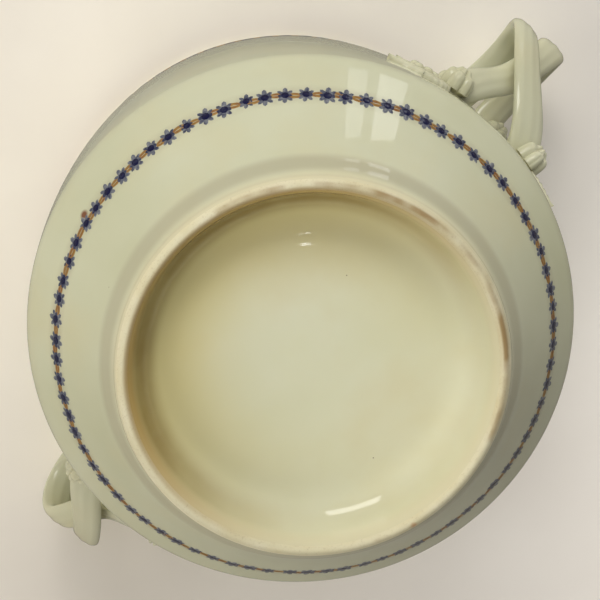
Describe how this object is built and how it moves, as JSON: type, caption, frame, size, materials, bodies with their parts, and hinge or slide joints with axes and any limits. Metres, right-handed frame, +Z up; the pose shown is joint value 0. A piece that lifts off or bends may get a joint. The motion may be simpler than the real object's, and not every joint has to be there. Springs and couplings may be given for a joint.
{
  "type": "two-handled porcelain pot",
  "caption": "Round porcelain pot on a turned foot ring with a recessed base, two entwined strap handles set opposite each other with moulded flower, leaf and berry terminals, and painted star and chain borders",
  "frame": {"origin": "centre of the foot ring on the plane the pot stands on", "axes": "+Z up through the pot's axis, +X through handle a, handle b 3.4 degrees off -X, +Y completes the frame"},
  "size_m": [0.1562, 0.1126, 0.0843],
  "materials": {
    "porcelain_glaze": "gloss",
    "handle_glaze": "gloss",
    "recess_glaze": "gloss",
    "bare_foot": "matte",
    "sprig_glaze": "gloss",
    "blue_enamel": "gloss",
    "gilding": "satin"
  },
  "bodies": {
    "root": {"belt_chain": "gilding", "belt_stars": "blue_enamel", "berries_a_low_l": "sprig_glaze", "berries_a_low_r": "sprig_glaze", "berries_a_top_l": "sprig_glaze", "berries_a_top_r": "sprig_glaze", "berries_b_low_l": "sprig_glaze", "berries_b_low_r": "sprig_glaze", "berries_b_top_l": "sprig_glaze", "berries_b_top_r": "sprig_glaze", "bowl_body": "porcelain_glaze", "flower_a_low_l": "sprig_glaze", "flower_a_low_r": "sprig_glaze", "flower_a_top_l": "sprig_glaze", "flower_a_top_r": "sprig_glaze", "flower_b_low_l": "sprig_glaze", "flower_b_low_r": "sprig_glaze", "flower_b_top_l": "sprig_glaze", "flower_b_top_r": "sprig_glaze", "foot_contact_band": "bare_foot", "foot_ring": "porcelain_glaze", "leaves_a_low_l": "sprig_glaze", "leaves_a_low_r": "sprig_glaze", "leaves_a_top_l": "sprig_glaze", "leaves_a_top_r": "sprig_glaze", "leaves_b_low_l": "sprig_glaze", "leaves_b_low_r": "sprig_glaze", "leaves_b_top_l": "sprig_glaze", "leaves_b_top_r": "sprig_glaze", "recess_panel": "recess_glaze", "rim_chain": "gilding", "rim_gilding": "gilding", "rim_stars": "blue_enamel", "strap_a_inner": "handle_glaze", "strap_a_outer": "handle_glaze", "strap_b_inner": "handle_glaze", "strap_b_outer": "handle_glaze"}
  },
  "joints": []
}
